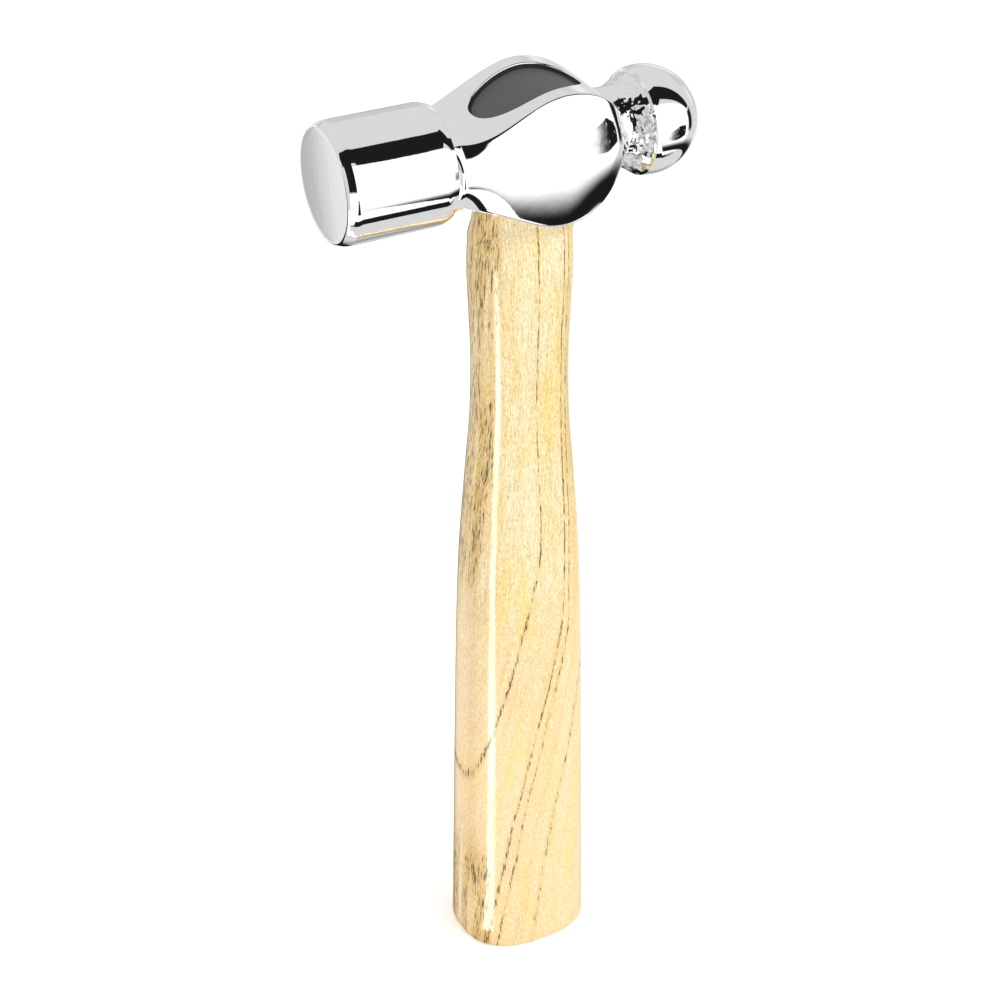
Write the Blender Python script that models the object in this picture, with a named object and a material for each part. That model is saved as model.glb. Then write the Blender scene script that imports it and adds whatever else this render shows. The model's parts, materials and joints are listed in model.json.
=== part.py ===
"""Ball peen hammer: a chromed forged head on an ash handle.

The handle's tenon fills the oval eye and is spread by one wooden and two steel wedges.
Dark resin seals the top of the eye, a little below its rim.
The hammer stands on its butt, with +Z up the handle and the striking face towards -X.
The origin is the centre of the butt's flat face.
"""

import math

import bpy

MM = 0.001

# Head: positions along X from the handle's axis, heights from the head's own axis
HEAD_AXIS_Z = 240.5 * MM
FACE_X = -52.0 * MM
FACE_RADIUS = 14.05 * MM
BARREL_RADIUS = 15.0 * MM
FACE_CHAMFER = 2.5 * MM
SHOULDER_X = -23.4 * MM
SHOULDER_CHAMFER = 2.0 * MM
SHOULDER_RADIUS = 14.25 * MM
SHOULDER_STEP = 1.2 * MM
BALL_X = 34.0 * MM
BALL_RADIUS = 13.7 * MM
BALL_CREASE_X = BALL_X - 3.4 * MM
BALL_NECK_X = 24.0 * MM
BALL_NECK_RADIUS = 9.9 * MM

# Boss around the eye: seen from the side a round cheek that runs into a low neck behind the barrel
BOSS_X = 5.0 * MM
BOSS_HEIGHT = 17.0 * MM
BOSS_REAR = 19.0 * MM
BOSS_REAR_SHARE = 0.984
CHEEK_WIDTH = 15.2 * MM
CHEEK_EDGE_WIDTH = 13.3 * MM
CHEEK_TAPER = 4.6 * MM
CHEEK_EDGE = 0.5 * MM
NECK_START_X = -25.0 * MM
NECK_END_X = -21.5 * MM
NECK_WIDTH = 13.5 * MM
NECK_FILLET = 1.0 * MM
NECK_FILLET_LENGTH = 2.4 * MM
NECK_EDGE_WIDTH = 10.5 * MM
NECK_HEIGHT = 8.5 * MM
EDGE_FLARE = 15.0 * MM

# Eye: an oval that is narrowest halfway through the head
EYE_X = 1.0 * MM
EYE_LENGTH = 13.2 * MM
EYE_WIDTH = 8.6 * MM
EYE_FLARE_TOP = 0.7 * MM
EYE_FLARE_BOTTOM = 0.2 * MM
EYE_ROUNDNESS = 2.3
SEAL_RECESS = 1.6 * MM

# Handle: half-depth along X at heights above the butt
HANDLE_STATIONS = (
    (0.0, 18.4),
    (58.0, 17.5),
    (104.0, 16.6),
    (127.0, 15.75),
    (150.0, 14.1),
    (167.0, 12.8),
    (183.0, 12.45),
    (198.0, 12.95),
    (209.0, 13.3),
    (217.0, 13.05),
)
HANDLE_RATIO_BUTT = 0.85
HANDLE_RATIO_TOP = 0.79
HANDLE_ROUNDNESS = 2.5
HANDLE_STEP = 8.0 * MM
BUTT_EDGE = 1.0 * MM
TENON_START_Z = 223.2 * MM
TENON_TOP_Z = HEAD_AXIS_Z + 8.0 * MM

# Wedges
WOOD_WEDGE_TOP = 3.6 * MM
WOOD_WEDGE_TIP = 0.9 * MM
WOOD_WEDGE_DEPTH = 17.5 * MM
WOOD_WEDGE_LENGTH = 24.6 * MM
STEEL_WEDGE_TOP = 2.0 * MM
STEEL_WEDGE_TIP = 0.6 * MM
STEEL_WEDGE_DEPTH = 12.0 * MM
STEEL_WEDGE_LENGTH = 12.4 * MM
STEEL_WEDGE_SPACING = 12.0 * MM

GAP = 0.3 * MM
OVERSHOOT = 6.0 * MM

TURNED_SIDES = 56
OVAL_SIDES = 40


def clear_scene():
    for obj in list(bpy.data.objects):
        bpy.data.objects.remove(obj, do_unlink=True)


def material(name, color, roughness, metallic=0.0, coat=0.0):
    made = bpy.data.materials.new(name)
    made.use_nodes = True
    shader = made.node_tree.nodes["Principled BSDF"]
    shader.inputs["Base Color"].default_value = (*color, 1.0)
    shader.inputs["Roughness"].default_value = roughness
    shader.inputs["Metallic"].default_value = metallic
    shader.inputs["Coat Weight"].default_value = coat
    made.diffuse_color = (*color, 1.0)
    return made


def mesh_object(name, points, faces, finish=None):
    mesh = bpy.data.meshes.new(name)
    mesh.from_pydata(points, [], faces)
    mesh.validate()
    obj = bpy.data.objects.new(name, mesh)
    bpy.context.scene.collection.objects.link(obj)
    if finish:
        mesh.materials.append(finish)
    return obj


def smooth(obj, angle=35.0):
    obj.data.shade_smooth()
    obj.data.set_sharp_from_angle(angle=math.radians(angle))


def loft(name, rings, finish=None, apex=None):
    """Skin rings of equal length, each anticlockwise seen from the far end, and cap both ends.

    The last cap is flat, or runs to a point where an apex is given.
    """
    count = len(rings[0])
    points = [point for ring in rings for point in ring]
    faces = []
    for level in range(len(rings) - 1):
        low = level * count
        high = low + count
        for i in range(count):
            j = (i + 1) % count
            faces.append((low + i, low + j, high + j, high + i))
    faces.append(tuple(reversed(range(count))))
    last = (len(rings) - 1) * count
    if apex is None:
        faces.append(tuple(range(last, last + count)))
    else:
        tip = len(points)
        points.append(apex)
        faces += [(last + i, last + (i + 1) % count, tip) for i in range(count)]
    return mesh_object(name, points, faces, finish)


def boolean(obj, other, operation):
    other.hide_render = True
    other.display_type = "WIRE"
    change = obj.modifiers.new(f"{operation.lower()} {other.name}", "BOOLEAN")
    change.operation = operation
    change.solver = "EXACT"
    change.object = other


def oval(half_x, half_y, roundness, z, centre_x=0.0, sides=OVAL_SIDES):
    """A superellipse in a level plane: 2 is an ellipse, and more is squarer."""
    ring = []
    for i in range(sides):
        angle = 2 * math.pi * i / sides
        c = math.cos(angle)
        s = math.sin(angle)
        x = centre_x + half_x * math.copysign(abs(c) ** (2 / roundness), c)
        y = half_y * math.copysign(abs(s) ** (2 / roundness), s)
        ring.append((x, y, z))
    return ring


def ease(t):
    t = min(max(t, 0.0), 1.0)
    return t * t * (3 - 2 * t)


def boss_height(x):
    """Half-height of the head around the eye: an easy rise from the neck, then a quarter ellipse."""
    if x < BOSS_X:
        rise = ease((x - NECK_END_X) / (BOSS_X - NECK_END_X))
        return NECK_HEIGHT + (BOSS_HEIGHT - NECK_HEIGHT) * rise
    t = (x - BOSS_X) / BOSS_REAR
    return BOSS_HEIGHT * math.sqrt(max(1 - t * t, 0.0))


def cheek_width(x):
    """Half-width of the head at the middle of its cheeks: a quick fillet, then a slow swell."""
    if x < BOSS_X:
        t = min(max((x - SHOULDER_X) / NECK_FILLET_LENGTH, 0.0), 1.0)
        fillet = NECK_FILLET * (1 - (1 - t) ** 3)
        swell = CHEEK_WIDTH - NECK_WIDTH - NECK_FILLET
        return NECK_WIDTH + fillet + swell * ease((x - SHOULDER_X) / (BOSS_X - SHOULDER_X))
    t = (x - BOSS_X) / BOSS_REAR
    return CHEEK_WIDTH - CHEEK_TAPER * t**3


def edge_width(x):
    """Half-width of the level top and bottom, where the cheeks' S-shaped edges run."""
    if x < BOSS_X:
        t = min(max((x - NECK_END_X) / EDGE_FLARE, 0.0), 1.0)
        return NECK_EDGE_WIDTH + (CHEEK_EDGE_WIDTH - NECK_EDGE_WIDTH) * (1 - (1 - t) ** 3)
    t = (x - BOSS_X) / BOSS_REAR
    return CHEEK_EDGE_WIDTH - CHEEK_TAPER * t * t


def boss_section(x, side_steps=4, top_steps=4):
    """One closed section of the boss: crowned cheeks, level top and bottom, and broken edges."""
    width = cheek_width(x)
    inner = edge_width(x)
    crown = width - CHEEK_EDGE - inner
    height = boss_height(x)
    flat = height - min(CHEEK_EDGE, 0.4 * height)
    quarter = []
    for i in range(side_steps + 1):
        z = flat * i / side_steps
        quarter.append((width - crown * (z / height) ** 2, z))
    for i in range(top_steps):
        quarter.append((inner * (1 - i / top_steps), height))
    upper = quarter + [(0.0, height)] + [(-y, z) for y, z in reversed(quarter)]
    lower = [(y, -z) for y, z in reversed(upper[1:-1])]
    return [(x, y, HEAD_AXIS_Z + z) for y, z in upper + lower]


def boss_stations():
    front = [NECK_START_X, SHOULDER_X, NECK_END_X]
    rise = [NECK_END_X + (BOSS_X - NECK_END_X) * i / 12 for i in range(1, 13)]
    turn = math.acos(math.sqrt(1 - BOSS_REAR_SHARE**2))
    rear = [BOSS_X + BOSS_REAR * math.sin(turn * i / 8) for i in range(1, 9)]
    return front + rise + rear


def turned_rings(profile):
    """Rings of (x, radius) points, listed from -X to +X, turned about the head's axis."""
    rings = []
    for x, radius in profile:
        ring = []
        for i in range(TURNED_SIDES):
            angle = 2 * math.pi * (i + 0.5) / TURNED_SIDES
            ring.append((x, radius * math.cos(angle), HEAD_AXIS_Z + radius * math.sin(angle)))
        rings.append(ring)
    return rings


def barrel_profile():
    return [
        (FACE_X, FACE_RADIUS),
        (FACE_X + FACE_CHAMFER, BARREL_RADIUS),
        (SHOULDER_X - SHOULDER_CHAMFER, BARREL_RADIUS),
        (SHOULDER_X, SHOULDER_RADIUS),
        (SHOULDER_X + SHOULDER_STEP / 2, SHOULDER_RADIUS - SHOULDER_STEP),
    ]


def ball_profile():
    """The neck behind the boss, the creased edge of the ball, and the ball."""
    crease = math.sqrt(BALL_RADIUS**2 - (BALL_X - BALL_CREASE_X) ** 2)
    profile = [(BOSS_X + 8 * MM, BALL_NECK_RADIUS), (BALL_NECK_X, BALL_NECK_RADIUS)]
    for i in range(1, 6):
        t = i / 5
        x = BALL_NECK_X + (BALL_CREASE_X - BALL_NECK_X) * t
        profile.append((x, BALL_NECK_RADIUS + (crease - BALL_NECK_RADIUS) * t**1.7))
    start = math.acos((BALL_CREASE_X - BALL_X) / BALL_RADIUS)
    for i in range(1, 12):
        angle = start * (1 - i / 12)
        profile.append((BALL_X + BALL_RADIUS * math.cos(angle), BALL_RADIUS * math.sin(angle)))
    return profile


def eye_ring(z, shrink=0.0):
    widest = EYE_FLARE_TOP if z > HEAD_AXIS_Z else EYE_FLARE_BOTTOM
    flare = widest * ((z - HEAD_AXIS_Z) / BOSS_HEIGHT) ** 2
    return oval(EYE_LENGTH + flare - shrink, EYE_WIDTH + flare - shrink, EYE_ROUNDNESS, z, EYE_X)


def make_head(finish):
    head = loft("head", turned_rings(barrel_profile()), finish)
    boss = loft("boss_blank", [boss_section(x) for x in boss_stations()])
    ball_tip = (BALL_X + BALL_RADIUS, 0.0, HEAD_AXIS_Z)
    ball = loft("ball_blank", turned_rings(ball_profile()), apex=ball_tip)
    reach = BOSS_HEIGHT + OVERSHOOT
    levels = [HEAD_AXIS_Z + reach * (i / 4 - 1) for i in range(9)]
    eye = loft("eye_cutter", [eye_ring(z) for z in levels])
    boolean(head, boss, "UNION")
    boolean(head, ball, "UNION")
    boolean(head, eye, "DIFFERENCE")
    smooth(head)
    return head


def handle_half_depth(z):
    """A smooth curve through the handle's stations."""
    stations = [(a * MM, b * MM) for a, b in HANDLE_STATIONS]
    stations = [stations[0]] + stations + [stations[-1]]
    for i in range(1, len(stations) - 2):
        z1, r1 = stations[i]
        z2, r2 = stations[i + 1]
        if z <= z2:
            break
    z0, r0 = stations[i - 1]
    z3, r3 = stations[i + 2]
    span = z2 - z1
    slope1 = (r2 - r0) / (z2 - z0) * span
    slope2 = (r3 - r1) / (z3 - z1) * span
    t = (z - z1) / span
    return (
        r1 * (2 * t**3 - 3 * t**2 + 1)
        + slope1 * (t**3 - 2 * t**2 + t)
        + r2 * (3 * t**2 - 2 * t**3)
        + slope2 * (t**3 - t**2)
    )


def handle_ring(z, inset=0.0):
    share = z / TENON_START_Z
    ratio = HANDLE_RATIO_BUTT + (HANDLE_RATIO_TOP - HANDLE_RATIO_BUTT) * share
    depth = handle_half_depth(z)
    return oval(depth - inset, depth * ratio - inset, HANDLE_ROUNDNESS, z)


def mixed(low, high, rise, share):
    """A ring between two others: rise is its share of the way up, and share of the way in shape."""
    shares = (share, share, rise)
    return [tuple(a + (b - a) * k for a, b, k in zip(p, q, shares)) for p, q in zip(low, high)]


def make_handle(finish):
    top = HANDLE_STATIONS[-1][0] * MM
    rings = [handle_ring(0.0, BUTT_EDGE), handle_ring(BUTT_EDGE)]
    steps = round(top / HANDLE_STEP)
    rings += [handle_ring(top * i / steps) for i in range(1, steps + 1)]
    shoulder_steps = 3
    tenon = eye_ring(TENON_START_Z, GAP)
    for i in range(1, shoulder_steps):
        share = i / shoulder_steps
        rings.append(mixed(handle_ring(top), tenon, share, ease(share)))
    tenon_steps = 4
    for i in range(tenon_steps + 1):
        z = TENON_START_Z + (TENON_TOP_Z - TENON_START_Z) * i / tenon_steps
        rings.append(eye_ring(z, GAP))
    handle = loft("handle", rings, finish)
    smooth(handle)
    return handle


def wedge(name, thick, thin, length, depth, centre_x, across, grow=0.0, finish=None):
    """A wedge driven into the tenon's end, thick end up.

    Its thickness lies along X if it goes across the eye, otherwise along Y. A grown one is a cutter.
    """
    slope = (thick - thin) / depth
    tip_z = TENON_TOP_Z - depth - grow
    top_z = TENON_TOP_Z + (OVERSHOOT if grow else 0.0)
    rings = []
    for z in (tip_z, top_z):
        half = (thick - slope * (TENON_TOP_Z - z)) / 2 + grow
        reach = length / 2 + grow
        dx, dy = (half, reach) if across else (reach, half)
        corners = ((-dx, -dy), (dx, -dy), (dx, dy), (-dx, dy))
        rings.append([(centre_x + x, y, z) for x, y in corners])
    return loft(name, rings, finish)


def make_wedges(handle, wood, steel):
    """The wedges, and the cuts that they sit in. The saw kerf runs out of the tenon at both ends."""
    wooden_size = (WOOD_WEDGE_TOP, WOOD_WEDGE_TIP)
    kerf_length = 2 * EYE_LENGTH + OVERSHOOT
    wooden = wedge(
        "wooden_wedge", *wooden_size, WOOD_WEDGE_LENGTH, WOOD_WEDGE_DEPTH, EYE_X, False, finish=wood
    )
    kerf = wedge(
        "kerf_cutter", *wooden_size, kerf_length, WOOD_WEDGE_DEPTH, EYE_X, False, grow=GAP
    )
    boolean(handle, kerf, "DIFFERENCE")
    steel_size = (STEEL_WEDGE_TOP, STEEL_WEDGE_TIP, STEEL_WEDGE_LENGTH, STEEL_WEDGE_DEPTH)
    for place, side in (("front", -1), ("rear", 1)):
        x = EYE_X + side * STEEL_WEDGE_SPACING / 2
        wedge(f"steel_wedge_{place}", *steel_size, x, True, finish=steel)
        split = wedge(f"split_cutter_{place}", *steel_size, x, True, grow=GAP)
        boolean(handle, split, "DIFFERENCE")
        boolean(wooden, split, "DIFFERENCE")


def make_seal(finish):
    """Resin on the tenon's end: flat underneath, and its top follows the head's curve below the rim."""
    base_z = TENON_TOP_Z + GAP
    outline = eye_ring(base_z, GAP)
    rings = [outline]
    for share in (1.0, 0.7, 0.35):
        ring = []
        for x, y, _ in outline:
            px = EYE_X + (x - EYE_X) * share
            ring.append((px, y * share, HEAD_AXIS_Z + boss_height(px) - SEAL_RECESS))
        rings.append(ring)
    crown = (EYE_X, 0.0, HEAD_AXIS_Z + boss_height(EYE_X) - SEAL_RECESS)
    smooth(loft("eye_seal", rings, finish, apex=crown))


def main():
    clear_scene()
    chrome = material("chrome", (0.80, 0.81, 0.82), 0.07, metallic=1.0)
    ash = material("lacquered_ash", (0.90, 0.76, 0.52), 0.35, coat=0.6)
    wedge_wood = material("wedge_wood", (0.62, 0.42, 0.24), 0.6)
    steel = material("wedge_steel", (0.45, 0.45, 0.46), 0.4, metallic=1.0)
    resin = material("dark_resin", (0.075, 0.075, 0.08), 0.55)
    make_head(chrome)
    handle = make_handle(ash)
    make_wedges(handle, wedge_wood, steel)
    make_seal(resin)


main()
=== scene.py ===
"""The looks of the ball peen hammer: a chromed head, a lacquered ash handle and a dark resin seal.

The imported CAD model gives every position. The fine pieces built here keep its dimensions and
add rounded edges, a rough ball neck, wood grain and plated metal.
"""

import json
import math

import bpy
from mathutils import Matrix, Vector, noise


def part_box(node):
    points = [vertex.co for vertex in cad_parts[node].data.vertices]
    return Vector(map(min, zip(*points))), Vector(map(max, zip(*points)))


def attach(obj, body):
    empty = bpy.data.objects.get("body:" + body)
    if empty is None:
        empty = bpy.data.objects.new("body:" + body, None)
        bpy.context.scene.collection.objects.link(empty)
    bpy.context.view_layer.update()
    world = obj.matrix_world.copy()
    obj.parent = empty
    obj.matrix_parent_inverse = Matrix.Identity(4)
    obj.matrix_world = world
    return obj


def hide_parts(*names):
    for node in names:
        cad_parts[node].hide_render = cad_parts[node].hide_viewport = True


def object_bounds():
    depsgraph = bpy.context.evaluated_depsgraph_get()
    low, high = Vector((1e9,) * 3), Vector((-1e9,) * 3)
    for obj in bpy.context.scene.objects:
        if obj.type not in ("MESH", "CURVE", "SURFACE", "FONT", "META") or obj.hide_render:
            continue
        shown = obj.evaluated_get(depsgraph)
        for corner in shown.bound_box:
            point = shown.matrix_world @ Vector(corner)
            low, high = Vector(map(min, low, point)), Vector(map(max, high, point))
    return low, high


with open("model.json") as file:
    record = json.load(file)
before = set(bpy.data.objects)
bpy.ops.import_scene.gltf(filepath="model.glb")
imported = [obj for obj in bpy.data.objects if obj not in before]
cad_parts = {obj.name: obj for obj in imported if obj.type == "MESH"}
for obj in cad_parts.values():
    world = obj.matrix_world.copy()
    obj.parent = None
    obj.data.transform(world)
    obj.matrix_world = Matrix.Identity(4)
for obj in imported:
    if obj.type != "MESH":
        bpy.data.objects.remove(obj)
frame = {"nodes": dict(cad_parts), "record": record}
CAD_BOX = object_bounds()

MM = 0.001

# Places that the frame gives
MOUNTS = {mount["name"]: mount for mount in frame["record"]["mounts"]}
FACE_X, _, HEAD_AXIS_Z = MOUNTS["striking_face"]["pos_m"]
_, HEAD_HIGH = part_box("head")
HANDLE_LOW, HANDLE_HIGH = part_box("handle")
SEAL_LOW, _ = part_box("eye_seal")

# Barrel and striking face
FACE_RADIUS = 14.05 * MM
BARREL_RADIUS = 15.0 * MM
FACE_CHAMFER = 2.5 * MM
FACE_CROWN = 0.10 * MM
FACE_EDGE = 0.9 * MM
BARREL_EDGE = 5.0 * MM
SHOULDER_X = -23.4 * MM
SHOULDER_CHAMFER = 2.0 * MM
SHOULDER_RADIUS = 14.25 * MM
SHOULDER_STEP = 1.2 * MM
SHOULDER_EDGE = 0.3 * MM
FACE_RINGS = 12
BARREL_SIDES = 256

# Ball
BALL_RADIUS = 13.7 * MM
BALL_X = HEAD_HIGH.x - BALL_RADIUS
BALL_CREASE_X = BALL_X - 3.4 * MM
BALL_NECK_X = 24.0 * MM
BALL_NECK_RADIUS = 9.9 * MM
# Both of these places are inside the boss: where the neck ends, and its first close ring
NECK_ROOT_X = 13.0 * MM
NECK_RINGS_X = 15.0 * MM
NECK_FLARE_POWER = 1.7
CREASE_GROOVE = 0.4 * MM
BALL_SIDES = 320

# Cast texture on the ball's neck: the size and the height in mm of its coarse and fine lumps,
# and where it fades in behind the boss and out before the crease
COARSE_SIZE = 2.3 * MM
COARSE_HEIGHT = 0.26
FINE_SIZE = 0.9 * MM
FINE_HEIGHT = 0.10
FINE_SHIFT = Vector((7.3, 1.1, 4.7))
TEXTURE_START = 12 * MM
TEXTURE_FADE_IN = 3 * MM
TEXTURE_FADE_OUT = 0.5 * MM

# Boss around the eye
BOSS_X = 5.0 * MM
BOSS_HEIGHT = HEAD_HIGH.z - HEAD_AXIS_Z
BOSS_REAR = 19.0 * MM
BOSS_REAR_SHARE = 0.984
CHEEK_WIDTH = HEAD_HIGH.y
CHEEK_EDGE_WIDTH = 13.3 * MM
CHEEK_TAPER = 4.6 * MM
CHEEK_EDGE = 0.85 * MM
NECK_START_X = -25.0 * MM
NECK_END_X = -21.5 * MM
NECK_WIDTH = 13.5 * MM
NECK_FILLET = 1.0 * MM
NECK_FILLET_LENGTH = 2.4 * MM
NECK_EDGE_WIDTH = 10.5 * MM
NECK_HEIGHT = 8.5 * MM
EDGE_FLARE = 15.0 * MM

# Eye and seal
EYE_X = 1.0 * MM
EYE_LENGTH = 13.2 * MM
EYE_WIDTH = 8.6 * MM
EYE_FLARE_TOP = 0.7 * MM
EYE_FLARE_BOTTOM = 0.2 * MM
EYE_ROUNDNESS = 2.3
EYE_RIM = 0.6 * MM
EYE_RIM_TURN = 78.0
EYE_WALL_DROP = 2.4 * MM
# How far the eye's cutter runs out below the head, and how far its outline clears the top
EYE_CUT_BELOW = 4 * MM
EYE_CUT_CLEAR = 3 * MM
SEAL_RECESS = 1.6 * MM
SEAL_CLIMB = 1.0 * MM
SEAL_CLIMB_SHARE = 0.085
SEAL_CLIMB_POWER = 2.6
SEAL_OVERLAP = 0.03 * MM

# Points in each ring of the eye, the seal and the handle
RING_SIDES = 200

# Handle: (height above the butt, half-depth along X) in mm
HANDLE_STATIONS = (
    (0.0, 18.4),
    (58.0, 17.5),
    (104.0, 16.6),
    (127.0, 15.75),
    (150.0, 14.1),
    (167.0, 12.8),
    (183.0, 12.45),
    (198.0, 12.95),
    (209.0, 13.3),
    (217.0, 13.05),
)
HANDLE_RATIO_BUTT = 0.85
HANDLE_RATIO_TOP = 0.79
HANDLE_ROUNDNESS = 2.5
BUTT_EDGE = 1.0 * MM
TENON_START_Z = 223.2 * MM
TENON_TOP_Z = HANDLE_HIGH.z
TENON_CLEARANCE = 0.02 * MM

# The cuts for the wedges: the gap around each wedge, and how far past it a cut runs out
CUT_GAP = 0.3 * MM
CUT_PAST_SIDE = 8 * MM
CUT_PAST_END = 4 * MM
CUT_PAST_TOP = 4 * MM


# ---------------------------------------------------------------- meshes


def mesh_object(name, points, faces, finish=None):
    mesh = bpy.data.meshes.new(name)
    mesh.from_pydata([tuple(point) for point in points], [], faces)
    mesh.validate()
    obj = bpy.data.objects.new(name, mesh)
    bpy.context.scene.collection.objects.link(obj)
    if finish:
        mesh.materials.append(finish)
    return obj


def smooth(obj, angle=32.0):
    obj.data.shade_smooth()
    obj.data.set_sharp_from_angle(angle=math.radians(angle))


def loft(name, rings, start=None, end=None, finish=None):
    """Skin rings of equal length. An end is a flat cap, or a fan to the point given."""
    count = len(rings[0])
    points = [point for ring in rings for point in ring]
    faces = []
    for level in range(len(rings) - 1):
        low = level * count
        high = low + count
        for i in range(count):
            j = (i + 1) % count
            faces.append((low + i, low + j, high + j, high + i))
    last = (len(rings) - 1) * count
    if start is None:
        faces.append(tuple(reversed(range(count))))
    else:
        tip = len(points)
        points.append(start)
        faces += [((i + 1) % count, i, tip) for i in range(count)]
    if end is None:
        faces.append(tuple(range(last, last + count)))
    else:
        tip = len(points)
        points.append(end)
        faces += [(last + i, last + (i + 1) % count, tip) for i in range(count)]
    return mesh_object(name, points, faces, finish)


def apply_booleans(obj, changes):
    """Joins or cuts obj with each (operation, other) and removes the others."""
    for operation, other in changes:
        change = obj.modifiers.new(operation, "BOOLEAN")
        change.operation = operation
        change.solver = "EXACT"
        change.object = other
    graph = bpy.context.evaluated_depsgraph_get()
    made = bpy.data.meshes.new_from_object(obj.evaluated_get(graph))
    obj.modifiers.clear()
    obj.data = made
    for _, other in changes:
        bpy.data.objects.remove(other, do_unlink=True)


def ease(t):
    t = min(max(t, 0.0), 1.0)
    return t * t * (3 - 2 * t)


def rounded(corners, steps=6):
    """(x, radius) points of an outline whose corners, (x, radius, fillet), are rounded by arcs."""
    outline = [corners[0][:2]]
    for before, corner, after in zip(corners, corners[1:], corners[2:]):
        place = Vector(corner[:2])
        fillet = corner[2]
        back = (Vector(before[:2]) - place).normalized()
        ahead = (Vector(after[:2]) - place).normalized()
        half = back.angle(ahead) / 2
        reach = fillet / math.tan(half)
        centre = place + (back + ahead).normalized() * fillet / math.sin(half)
        first = place + back * reach - centre
        turn = first.angle_signed(place + ahead * reach - centre)
        for i in range(steps + 1):
            angle = -turn * i / steps
            c = math.cos(angle)
            s = math.sin(angle)
            x = centre.x + first.x * c - first.y * s
            outline.append((x, centre.y + first.x * s + first.y * c))
    outline.append(corners[-1][:2])
    return outline


def with_rings_beside_arcs(outline, beside=0.12 * MM):
    """Adds a point close to each end of a straight stretch, to keep its shading straight."""
    made = [outline[0]]
    for low, high in zip(outline, outline[1:]):
        a = Vector(low)
        b = Vector(high)
        length = (b - a).length
        if length > 4 * beside:
            made += [tuple(a.lerp(b, beside / length)), tuple(a.lerp(b, 1 - beside / length))]
        made.append(high)
    return made


def smooth_surface(x, angle):
    return 0.0


def turned_rings(profile, sides, relief=smooth_surface):
    """Rings around the head's axis through (x, radius) points, with relief added to the radius."""
    rings = []
    for x, radius in profile:
        ring = []
        for i in range(sides):
            angle = 2 * math.pi * (i + 0.5) / sides
            grown = radius + relief(x, angle)
            ring.append((x, grown * math.cos(angle), HEAD_AXIS_Z + grown * math.sin(angle)))
        rings.append(ring)
    return rings


def between(low, high, steps):
    return [low + (high - low) * i / steps for i in range(steps + 1)]


# ---------------------------------------------------------------- head


def make_barrel():
    # The first corner only leads in to the face's edge
    corners = [
        (FACE_X + FACE_CROWN, FACE_RADIUS * 0.9),
        (FACE_X + FACE_CROWN, FACE_RADIUS, FACE_EDGE),
        (FACE_X + FACE_CHAMFER, BARREL_RADIUS, BARREL_EDGE),
        (SHOULDER_X - SHOULDER_CHAMFER, BARREL_RADIUS, BARREL_EDGE),
        (SHOULDER_X, SHOULDER_RADIUS, SHOULDER_EDGE),
        (SHOULDER_X + SHOULDER_STEP / 2, SHOULDER_RADIUS - SHOULDER_STEP),
    ]
    edge = with_rings_beside_arcs(rounded(corners)[1:])
    reach = edge[0][1]
    face = []
    for i in range(1, FACE_RINGS):
        radius = reach * i / FACE_RINGS
        face.append((FACE_X + FACE_CROWN * (radius / reach) ** 2, radius))
    rings = turned_rings(face + edge, BARREL_SIDES)
    return loft("head", rings, start=(FACE_X, 0.0, HEAD_AXIS_Z))


def boss_height(x):
    """Half-height of the head around the eye: a rise from the neck, then a quarter ellipse."""
    if x < BOSS_X:
        rise = ease((x - NECK_END_X) / (BOSS_X - NECK_END_X))
        return NECK_HEIGHT + (BOSS_HEIGHT - NECK_HEIGHT) * rise
    t = (x - BOSS_X) / BOSS_REAR
    return BOSS_HEIGHT * math.sqrt(max(1 - t * t, 0.0))


def cheek_width(x):
    """Half-width of the head at the middle of its cheeks: a quick fillet, then a slow swell."""
    if x < BOSS_X:
        t = min(max((x - SHOULDER_X) / NECK_FILLET_LENGTH, 0.0), 1.0)
        fillet = NECK_FILLET * (1 - (1 - t) ** 3)
        swell = CHEEK_WIDTH - NECK_WIDTH - NECK_FILLET
        return NECK_WIDTH + fillet + swell * ease((x - SHOULDER_X) / (BOSS_X - SHOULDER_X))
    t = (x - BOSS_X) / BOSS_REAR
    return CHEEK_WIDTH - CHEEK_TAPER * t**3


def edge_width(x):
    """Half-width of the level top and bottom, where the cheeks' S-shaped edges run."""
    if x < BOSS_X:
        t = min(max((x - NECK_END_X) / EDGE_FLARE, 0.0), 1.0)
        return NECK_EDGE_WIDTH + (CHEEK_EDGE_WIDTH - NECK_EDGE_WIDTH) * (1 - (1 - t) ** 3)
    t = (x - BOSS_X) / BOSS_REAR
    return CHEEK_EDGE_WIDTH - CHEEK_TAPER * t * t


def boss_section(x, side_steps=30, edge_steps=7, top_steps=16):
    """One closed section of the boss: crowned cheeks, level top and bottom, and rounded edges."""
    width = cheek_width(x)
    height = boss_height(x)
    edge = CHEEK_EDGE
    centre = edge_width(x)
    # The crown meets the rounded edge at the angle that both of them have there. A few rounds
    # settle it
    crown = width - edge - centre
    for _ in range(4):
        lean = math.atan(2 * crown / height)
        side_top = height - edge + edge * math.sin(lean)
        crown = (width - centre - edge * math.cos(lean)) / (side_top / height) ** 2
    quarter = []
    for i in range(side_steps):
        z = side_top * i / side_steps
        quarter.append((width - crown * (z / height) ** 2, z))
    for i in range(edge_steps + 1):
        angle = lean + (math.pi / 2 - lean) * i / edge_steps
        quarter.append((centre + edge * math.cos(angle), height - edge + edge * math.sin(angle)))
    for i in range(1, top_steps):
        quarter.append((centre * (1 - i / top_steps), height))
    upper = quarter + [(0.0, height)] + [(-y, z) for y, z in reversed(quarter)]
    lower = [(y, -z) for y, z in reversed(upper[1:-1])]
    return [(x, y, HEAD_AXIS_Z + z) for y, z in upper + lower]


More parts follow.
